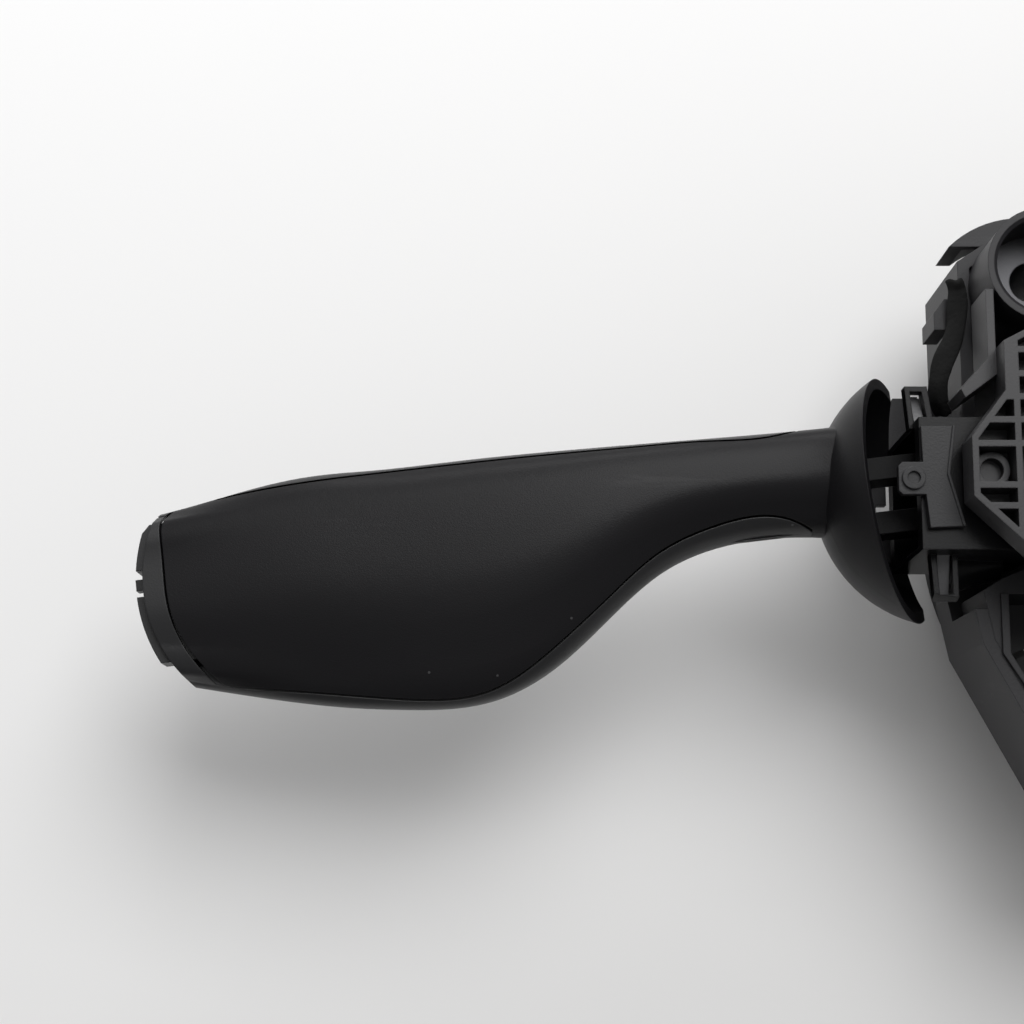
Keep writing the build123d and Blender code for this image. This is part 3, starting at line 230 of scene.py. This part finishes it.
@dataclass(frozen=True)
class Finish:
    """One surface finish: a moulded plastic, metal or felt with its grain, its dust, and lighter edges that
    are a painted highlight with some wear.
    """

    name: str
    colour: tuple[float, float, float]
    roughness: float
    grain_scale: float = 3000.0
    grain_depth: float = 0.1
    rough_spread: float = 0.08
    dust: float = 0.35
    metallic: float = 0.0
    coat: float = 0.0
    specular: float = 0.5
    edge: float = EDGE_RADIUS
    # share of the lighter edge tone: a painted highlight along every edge, with some wear
    wear_and_highlight: float = 0.25

    def tone(self, gain: float, lift: float) -> tuple[float, ...]:
        """Return the finish's colour made lighter or darker.

        Args:
            gain: what the colour is multiplied by.
            lift: what is added after that.

        Returns:
            Red, green and blue, each at most 1.
        """
        return tuple(min(1.0, channel * gain + lift) for channel in self.colour)

    def make(self) -> bpy.types.Material:
        """Build the material.

        Returns:
            A material with its whole node tree.
        """
        material = bpy.data.materials.new(self.name)
        material.use_nodes = True
        tree = material.node_tree
        shader = tree.nodes["Principled BSDF"]
        shader.inputs["Metallic"].default_value = self.metallic
        shader.inputs["Coat Weight"].default_value = self.coat
        shader.inputs["Coat Roughness"].default_value = COAT_ROUGHNESS
        shader.inputs["Specular IOR Level"].default_value = self.specular
        grain = self.place(tree, Effect.GRAIN)
        grain.inputs["Scale"].default_value = self.grain_scale
        dust = self.place(tree, Effect.DUST)
        dust.inputs["Amount"].default_value = self.dust
        scuff = self.place(tree, Effect.SCUFF)
        edge = self.place(tree, Effect.EDGE)
        edge.inputs["Radius"].default_value = self.edge
        self.link_colour(tree, shader, grain, dust, scuff, edge)
        self.link_roughness(tree, shader, grain, scuff)
        bump = tree.nodes.new("ShaderNodeBump")
        bump.inputs["Strength"].default_value = self.grain_depth
        bump.inputs["Distance"].default_value = GRAIN_HEIGHT
        tree.links.new(grain.outputs["Height"], bump.inputs["Height"])
        tree.links.new(edge.outputs["Normal"], bump.inputs["Normal"])
        tree.links.new(bump.outputs["Normal"], shader.inputs["Normal"])
        return material

    def place(self, tree: bpy.types.NodeTree, effect: Effect) -> bpy.types.Node:
        """Add an effect's group node to a tree.

        Args:
            tree: the tree that gets the node.
            effect: the effect that the node places.

        Returns:
            The group node.
        """
        node = tree.nodes.new("ShaderNodeGroup")
        node.node_tree = EFFECTS[effect]
        return node

    def mix(self, tree: bpy.types.NodeTree, factor: bpy.types.NodeSocket, a: object,
            b: object) -> bpy.types.NodeSocket:
        """Mix two colours by a factor.

        Args:
            tree: the tree that gets the node.
            factor: 0 for a, 1 for b.
            a: first colour, a tuple or a socket.
            b: second colour, a tuple or a socket.

        Returns:
            The mixed colour's socket.
        """
        node = tree.nodes.new("ShaderNodeMix")
        node.data_type = "RGBA"
        tree.links.new(factor, node.inputs["Factor"])
        for socket, value in ((node.inputs[6], a), (node.inputs[7], b)):
            if isinstance(value, tuple):
                socket.default_value = (*value, 1.0)
            else:
                tree.links.new(value, socket)
        return node.outputs[2]

    def link_colour(self, tree: bpy.types.NodeTree, shader: bpy.types.Node, grain: bpy.types.Node,
                    dust: bpy.types.Node, scuff: bpy.types.Node, edge: bpy.types.Node) -> None:
        """Feed the base colour with tone variation, scuffs, dust, and a painted highlight along edges with
        some wear.

        Args:
            tree: the material's tree.
            shader: its Principled BSDF.
            grain: the grain group.
            dust: the dust group.
            scuff: the scuff group.
            edge: the edge group.
        """
        dark = self.tone(0.85, 0.0)
        pale = self.tone(1.5, 0.01)
        speck = self.tone(2.0, 0.06)
        # lighter tone for edges: a painted highlight, with some wear
        wear_and_highlight_tone = self.tone(2.5, 0.03)
        ground = self.mix(tree, grain.outputs["Tone"], dark, self.colour)
        faint = add_math(tree, "MULTIPLY", scuff.outputs["Mask"], SCUFF_STRENGTH)
        worn = self.mix(tree, faint, ground, pale)
        soft = add_math(tree, "MULTIPLY", dust.outputs["Mask"], DUST_STRENGTH)
        # painted edge highlight: the edge mask lightens the colour along edges, with some wear
        wear_and_highlight_mask = add_math(tree, "MULTIPLY", edge.outputs["Mask"], self.wear_and_highlight)
        wear_and_highlight_colour = self.mix(tree, wear_and_highlight_mask, worn, wear_and_highlight_tone)
        tree.links.new(self.mix(tree, soft, wear_and_highlight_colour, speck), shader.inputs["Base Color"])

    def link_roughness(self, tree: bpy.types.NodeTree, shader: bpy.types.Node, grain: bpy.types.Node,
                       scuff: bpy.types.Node) -> None:
        """Feed the roughness with slow variation and scuffs.

        Args:
            tree: the material's tree.
            shader: its Principled BSDF.
            grain: the grain group.
            scuff: the scuff group.
        """
        spread = add_math(tree, "MULTIPLY", grain.outputs["Tone"], self.rough_spread)
        base = add_math(tree, "ADD", spread, self.roughness - self.rough_spread / 2)
        polish = add_math(tree, "MULTIPLY", scuff.outputs["Mask"], SCUFF_POLISH)
        tree.links.new(add_math(tree, "ADD", base, polish), shader.inputs["Roughness"])


FINISHES = {
    "soft_black": Finish("soft_touch_black", (0.0085, 0.0082, 0.0092), 0.39, specular=0.14,
                         grain_scale=4200.0, grain_depth=0.12),
    "frame_black": Finish("satin_black", (0.012, 0.012, 0.013), 0.42, specular=0.4, grain_scale=3600.0),
    "housing_black": Finish("housing_black", (0.0185, 0.0180, 0.0200), 0.50, specular=0.30,
                            grain_scale=2600.0, grain_depth=0.16),
    "bracket_black": Finish("bracket_black", (0.0225, 0.022, 0.0240), 0.45, specular=0.35,
                            grain_scale=2600.0, grain_depth=0.12),
    "rotor_black": Finish("rotor_black", (0.026, 0.026, 0.028), 0.5),
    "header_black": Finish("header_black", (0.0190, 0.0185, 0.0205), 0.5, specular=0.3,
                           grain_scale=2600.0, grain_depth=0.14),
    "gloss_black": Finish("gloss_black", (0.0055, 0.0055, 0.0062), 0.30, dust=0.15, specular=0.12, wear_and_highlight=0.55),
    "retainer_grey": Finish("retainer_grey", (0.0185, 0.0185, 0.0200), 0.5, specular=0.3, grain_depth=0.2),
    "core_black": Finish("core_black", (0.0040, 0.0040, 0.0044), 0.45, specular=0.08, wear_and_highlight=0.1, dust=0.0),
    "catch_grey": Finish("catch_grey", (0.110, 0.110, 0.114), 0.45, grain_depth=0.35, grain_scale=1800.0),
    "gear_white": Finish("natural_nylon", (0.50, 0.49, 0.45), 0.42),
    "felt": Finish("black_felt", (0.016, 0.016, 0.016), 0.95, grain_scale=1500.0, grain_depth=0.9,
                   specular=0.1),
    "steel": Finish("blackened_steel", (0.075, 0.075, 0.079), 0.46, metallic=1.0, dust=0.1),
    "contact_tin": Finish("tinned_contact", (0.62, 0.61, 0.58), 0.28, metallic=1.0, dust=0.0),
    "board_green": Finish("board_green", (0.012, 0.07, 0.03), 0.35, coat=0.4),
    "cable_film": Finish("cable_film", (0.30, 0.16, 0.05), 0.3, coat=0.3),
}


@dataclass
class Wardrobe:
    """The finishes of the record's slots, made once and put on every carried-over node."""

    made: dict[str, bpy.types.Material]

    def dress(self) -> None:
        """Put each node's finish on its mesh."""
        slots = {row["node"]: row["material_slot"] for row in frame["record"]["subparts"]}
        for name, node in frame["nodes"].items():
            node.data.materials.clear()
            node.data.materials.append(self.made[slots[name]])
            log.info("dressed %s in %s", name, slots[name])


# --- pieces modelled on the frame ---------------------------------------------------------
def fresh() -> None:
    """Deselect everything before a new primitive is added."""
    if bpy.context.mode != "OBJECT":
        bpy.ops.object.mode_set(mode="OBJECT")
    bpy.ops.object.select_all(action="DESELECT")


def choose(piece: bpy.types.Object, kind: str,
           test: Callable[[bpy.types.MeshVertex | bpy.types.MeshPolygon], bool]) -> int:
    """Select a piece's vertices or faces by a test and enter edit mode.

    Args:
        piece: the piece, in object mode.
        kind: "VERT" or "FACE".
        test: says whether an element is wanted.

    Returns:
        How many elements were chosen.
    """
    bpy.ops.object.mode_set(mode="EDIT")
    bpy.ops.mesh.select_mode(type=kind)
    bpy.ops.mesh.select_all(action="DESELECT")
    bpy.ops.object.mode_set(mode="OBJECT")
    rows = piece.data.vertices if kind == "VERT" else piece.data.polygons
    chosen = [row for row in rows if test(row)]
    for row in chosen:
        row.select = True
    bpy.ops.object.mode_set(mode="EDIT")
    return len(chosen)


def settle(piece: bpy.types.Object, name: str, finish: bpy.types.Material, angle: float = 35.0) -> None:
    """Name a piece, put its place into its mesh, smooth it and give it its finish.

    Args:
        piece: the modelled piece.
        name: its name.
        finish: its material.
        angle: edges sharper than this stay sharp, degrees.
    """
    if bpy.context.mode != "OBJECT":
        bpy.ops.object.mode_set(mode="OBJECT")
    bpy.ops.object.select_all(action="DESELECT")
    piece.select_set(True)
    bpy.context.view_layer.objects.active = piece
    for modifier in list(piece.modifiers):
        bpy.ops.object.modifier_apply(modifier=modifier.name)
    bpy.ops.object.transform_apply(location=True, rotation=True, scale=True)
    bpy.ops.object.shade_smooth_by_angle(angle=math.radians(angle))
    piece.name = name
    piece.data.name = name
    piece.data.materials.clear()
    piece.data.materials.append(finish)


def mirrored(piece: bpy.types.Object, name: str) -> bpy.types.Object:
    """Copy a finished piece to the other side of the column, with its own mesh.

    Args:
        piece: the finished piece on the left.
        name: the copy's name.

    Returns:
        The copy, with its faces pointing outwards.
    """
    copy = piece.copy()
    copy.data = piece.data.copy()
    copy.name = name
    copy.data.name = name
    bpy.context.scene.collection.objects.link(copy)
    copy.data.transform(Matrix.Scale(-1.0, 4, Vector((1.0, 0.0, 0.0))))
    copy.data.flip_normals()
    return copy


@dataclass
class DrapedTape:
    """The felt tape draped over each side wall beside the tower, with its lower end hanging free.

    Each station holds the tape's Y, its outer and inner X and its lower and upper Z, in millimetres.
    """

    finish: bpy.types.Material
    steps: int = 30
    lanes: int = 6
    thickness: float = 0.55 * MM
    crown: float = 0.35             # height of the arched middle, millimetres
    sway: float = 0.22              # sideways ripple of the outer edge
    ruffle: float = 0.16            # height of that ripple
    fold: float = 0.9               # height of the fold at the upper end
    fold_at: float = 0.03           # its place and half width, as shares of the length
    fold_half: float = 0.035
    stations: tuple[tuple[float, ...], ...] = (
        (34.6, 49.9, 47.2, 45.4, 46.5), (32.8, 49.4, 46.5, 45.2, 46.5), (30.4, 49.3, 46.3, 44.9, 46.5),
        (27.8, 49.5, 46.7, 44.7, 46.5), (25.0, 50.5, 47.2, 44.6, 46.5), (22.4, 51.6, 48.0, 44.2, 46.5),
        (20.0, 52.4, 49.1, 43.6, 46.2), (17.6, 52.8, 49.9, 42.8, 45.5), (15.2, 52.2, 49.7, 41.5, 44.2),
        (13.0, 50.8, 48.6, 39.5, 42.0))

    def at(self, share: float) -> list[float]:
        """Find a station between the given ones.

        Args:
            share: 0 at the upper end, 1 at the hanging end.

        Returns:
            The tape's Y, its outer and inner X and its lower and upper Z, in millimetres.
        """
        place = share * (len(self.stations) - 1)
        index = min(int(place), len(self.stations) - 2)
        part = place - index
        return [a + (b - a) * part for a, b in zip(self.stations[index], self.stations[index + 1])]

    def point(self, along: float, across: float) -> Vector:
        """Return a point of the tape.

        Args:
            along: 0 at the upper end, 1 at the hanging end.
            across: 0 at the outer edge, 1 at the inner edge.

        Returns:
            The place in metres.
        """
        y, outer, inner, low, high = self.at(along)
        crest = math.sin(math.pi * across)
        ripple = math.sin(19.0 * along + 3.0 * across) * (1.0 - across)
        fold = self.fold * math.exp(-((along - self.fold_at) / self.fold_half) ** 2) * (0.4 + crest)
        x = outer + (inner - outer) * across - self.sway * ripple
        z = low + (high - low) * across ** 0.7 + self.crown * crest + self.ruffle * abs(ripple) + fold
        return Vector((-x, y + self.crown * math.sin(9.0 * across), z)) / 1000.0

    def build(self) -> None:
        """Model the left tape, copy it to the right and hang both on the housing."""
        fresh()
        bpy.ops.mesh.primitive_grid_add(x_subdivisions=self.steps, y_subdivisions=self.lanes, size=1.0)
        tape = bpy.context.object
        for vertex in tape.data.vertices:
            vertex.co = self.point(vertex.co.x + 0.5, vertex.co.y + 0.5)
        wall = tape.modifiers.new("thickness", "SOLIDIFY")
        wall.thickness = self.thickness
        wall.offset = 0.0
        soft = tape.modifiers.new("soft", "SUBSURF")
        soft.levels = 1
        soft.render_levels = 1
        settle(tape, "left_tape", self.finish, 60.0)
        for piece, node in ((tape, "left_felt_strip"), (mirrored(tape, "right_tape"), "right_felt_strip")):
            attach(piece, "housing")
            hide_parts(node)
            log.info("hung %s in place of %s", piece.name, node)


@dataclass
class BracketScrews:
    """The four pan-head screws of the rear plate, with six-lobed recesses."""

    finish: bpy.types.Material
    x: float = 0.025                # legs of the plate, from the column axis
    y: float = 0.011
    top: float = 0.065
    head_r: float = 0.0028
    head_h: float = 0.0018
    shank_r: float = 0.0015
    foot: float = 0.029
    recess_r: float = 0.0014
    recess_depth: float = 0.0011
    recess_rim: float = 0.0002
    recess_taper: float = 0.82      # width of its floor as a share of its mouth
    lobe_depth: float = 0.14        # how far the lobes cut in, as a share of the radius
    head_round: float = 0.00025

    def one(self) -> bpy.types.Object:
        """Model one screw on the column axis: domed head, recess and shank.

        Returns:
            The screw, in object mode.
        """
        fresh()
        bpy.ops.mesh.primitive_cylinder_add(vertices=36, radius=self.head_r, depth=self.head_h,
                                            location=(0, 0, self.top - self.head_h / 2))
        screw = bpy.context.object
        bpy.ops.object.transform_apply(location=True)
        up = self.top - STEP
        choose(screw, "FACE", lambda face: face.center.z > up)
        bpy.ops.mesh.inset(thickness=self.head_r - self.recess_r - self.recess_rim)
        bpy.ops.mesh.inset(thickness=self.recess_rim)
        bpy.ops.object.mode_set(mode="OBJECT")
        lobed = [v for v in screw.data.vertices
                 if v.co.z > up and v.co.xy.length < self.recess_r + self.recess_rim / 2]
        for vertex in lobed:
            angle = math.atan2(vertex.co.y, vertex.co.x)
            vertex.co.xy *= 1.0 - self.lobe_depth * (1.0 - math.cos(6.0 * angle))
        choose(screw, "FACE", lambda face: face.center.z > up and face.center.xy.length < 10 * STEP)
        bpy.ops.mesh.extrude_region_move(TRANSFORM_OT_translate={"value": (0, 0, -self.recess_depth)})
        bpy.ops.transform.resize(value=(self.recess_taper, self.recess_taper, 1.0),
                                 center_override=(0, 0, self.top))
        down = self.top - self.head_h + STEP
        choose(screw, "FACE", lambda face: face.center.z < down)
        bpy.ops.mesh.inset(thickness=self.head_r - self.shank_r)
        bpy.ops.mesh.extrude_region_move(
            TRANSFORM_OT_translate={"value": (0, 0, self.foot + self.head_h - self.top)})
        bpy.ops.object.mode_set(mode="OBJECT")
        rim = screw.modifiers.new("rim", "BEVEL")
        rim.width = self.head_round
        rim.segments = 2
        rim.limit_method = "ANGLE"
        rim.angle_limit = math.radians(50)
        return screw

    def build(self) -> None:
        """Model one screw, copy it to the four legs and join the set."""
        first = self.one()
        settle(first, "bracket_screw_set", self.finish, 40.0)
        copies = []
        for x, y in ((-self.x, -self.y), (self.x, -self.y), (-self.x, self.y), (self.x, self.y)):
            copy = first.copy()
            copy.data = first.data.copy()
            copy.data.transform(Matrix.Translation((x, y, 0.0)))
            bpy.context.scene.collection.objects.link(copy)
            copies.append(copy)
        bpy.data.objects.remove(first)
        bpy.ops.object.select_all(action="DESELECT")
        for copy in copies:
            copy.select_set(True)
        bpy.context.view_layer.objects.active = copies[0]
        bpy.ops.object.join()
        screws = bpy.context.object
        screws.name = "bracket_screw_set"
        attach(screws, "housing")
        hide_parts("bracket_screws")
        log.info("set four screws in the rear plate")


@dataclass
class Studio:
    """Floor, lamps, world and camera."""

    aim: Vector = Vector((-0.12066, -0.00341, 0.044))
    distance: float = 0.330
    tilt: float = math.radians(10.0)
    lens: float = 71.93
    floor_half: float = 1.2
    floor_pale: tuple[float, ...] = (0.885, 0.885, 0.885, 1.0)
    # painted shade: the floor's colour darkens to this tone towards the lower right, in place of light
    # falling off
    floor_painted_shade: tuple[float, ...] = (0.62, 0.612, 0.605, 1.0)
    floor_rise: float = -1.6        # weight of Y against X in the floor's painted shade
    floor_range: tuple[float, float] = (-0.40, 0.45)
    light_level: float = 0.44       # world light from the horizon, and its growth towards +Y
    light_growth: float = 0.28
    backdrop_level: float = 0.92    # world as the camera sees it

    def build(self) -> None:
        """Make the whole studio."""
        self.floor()
        self.world()
        self.lamps()
        self.camera()

    def floor(self) -> None:
        """Lay the pale floor, with painted shade that darkens its colour towards the lower right."""
        bpy.ops.object.select_all(action="DESELECT")
        bpy.ops.mesh.primitive_plane_add(size=2 * self.floor_half, location=(0, 0, 0))
        plane = bpy.context.object
        plane.name = "floor"
        material = bpy.data.materials.new("floor_paper")
        material.use_nodes = True
        tree = material.node_tree
        shader = tree.nodes["Principled BSDF"]
        shader.inputs["Roughness"].default_value = 0.9
        coords = tree.nodes.new("ShaderNodeTexCoord")
        split = tree.nodes.new("ShaderNodeSeparateXYZ")
        tree.links.new(coords.outputs["Object"], split.inputs[0])
        up = add_math(tree, "MULTIPLY", split.outputs["Y"], self.floor_rise)
        slope = add_math(tree, "ADD", split.outputs["X"], up)
        shade = add_ramp(tree, slope, *self.floor_range)
        # painted shade on the floor: its colour runs from pale to darker towards the lower right
        ramp = tree.nodes.new("ShaderNodeValToRGB")
        ramp.color_ramp.elements[0].color = self.floor_pale
        ramp.color_ramp.elements[1].color = self.floor_painted_shade
        tree.links.new(shade, ramp.inputs["Fac"])
        tree.links.new(ramp.outputs["Color"], shader.inputs["Base Color"])
        plane.data.materials.append(material)

    def world(self) -> None:
        """Set the world: light that grows towards +Y, and an even backdrop for the camera."""
        world = bpy.data.worlds.new("studio")
        world.use_nodes = True
        tree = world.node_tree
        path = tree.nodes.new("ShaderNodeLightPath")
        coords = tree.nodes.new("ShaderNodeTexCoord")
        split = tree.nodes.new("ShaderNodeSeparateXYZ")
        tree.links.new(coords.outputs["Generated"], split.inputs[0])
        strength = tree.nodes.new("ShaderNodeMapRange")
        sky = add_math(tree, "MULTIPLY", split.outputs["Y"], self.light_growth)
        tree.links.new(add_math(tree, "ADD", sky, self.light_level), strength.inputs["To Min"])
        strength.inputs["To Max"].default_value = self.backdrop_level
        tree.links.new(path.outputs["Is Camera Ray"], strength.inputs["Value"])
        tree.nodes["Background"].inputs["Color"].default_value = WHITE
        tree.links.new(strength.outputs["Result"], tree.nodes["Background"].inputs["Strength"])
        bpy.context.scene.world = world

    def lamp(self, name: str, place: Vector, size: float, power: float) -> None:
        """Add one soft square lamp that points at the object.

        Args:
            name: the lamp's name.
            place: where it stands.
            size: edge length.
            power: watts.
        """
        data = bpy.data.lights.new(name, "AREA")
        data.size = size
        data.energy = power
        lamp = bpy.data.objects.new(name, data)
        lamp.location = place
        lamp.rotation_euler = (LAMP_TARGET - place).to_track_quat("-Z", "Y").to_euler()
        bpy.context.scene.collection.objects.link(lamp)

    def lamps(self) -> None:
        """Stand the key lamp nearly overhead and a weaker one behind the object, on the +Y side."""
        self.lamp("key", Vector((0.08, 0.45, 0.90)), 0.62, 7.2)
        self.lamp("side", Vector((-0.15, 0.95, 0.42)), 0.40, 2.5)

    def camera(self) -> None:
        """Set the camera above the object, tilted from the lower side."""
        data = bpy.data.cameras.new("camera")
        data.lens = self.lens
        data.sensor_width = SENSOR_WIDTH
        camera = bpy.data.objects.new("camera", data)
        back = Vector((0, -math.sin(self.tilt), math.cos(self.tilt)))
        camera.location = self.aim + back * self.distance
        camera.rotation_euler = (self.tilt, 0, 0)
        bpy.context.scene.collection.objects.link(camera)
        bpy.context.scene.camera = camera


def main() -> None:
    """Build the studio and every piece in order."""
    logging.basicConfig(level=logging.INFO, format="%(message)s")
    bpy.context.scene.view_settings.view_transform = "Standard"
    made = {slot: finish.make() for slot, finish in FINISHES.items()}
    Wardrobe(made).dress()
    DrapedTape(made["felt"]).build()
    BracketScrews(made["steel"]).build()
    Studio().build()


if __name__ == "__main__":
    main()
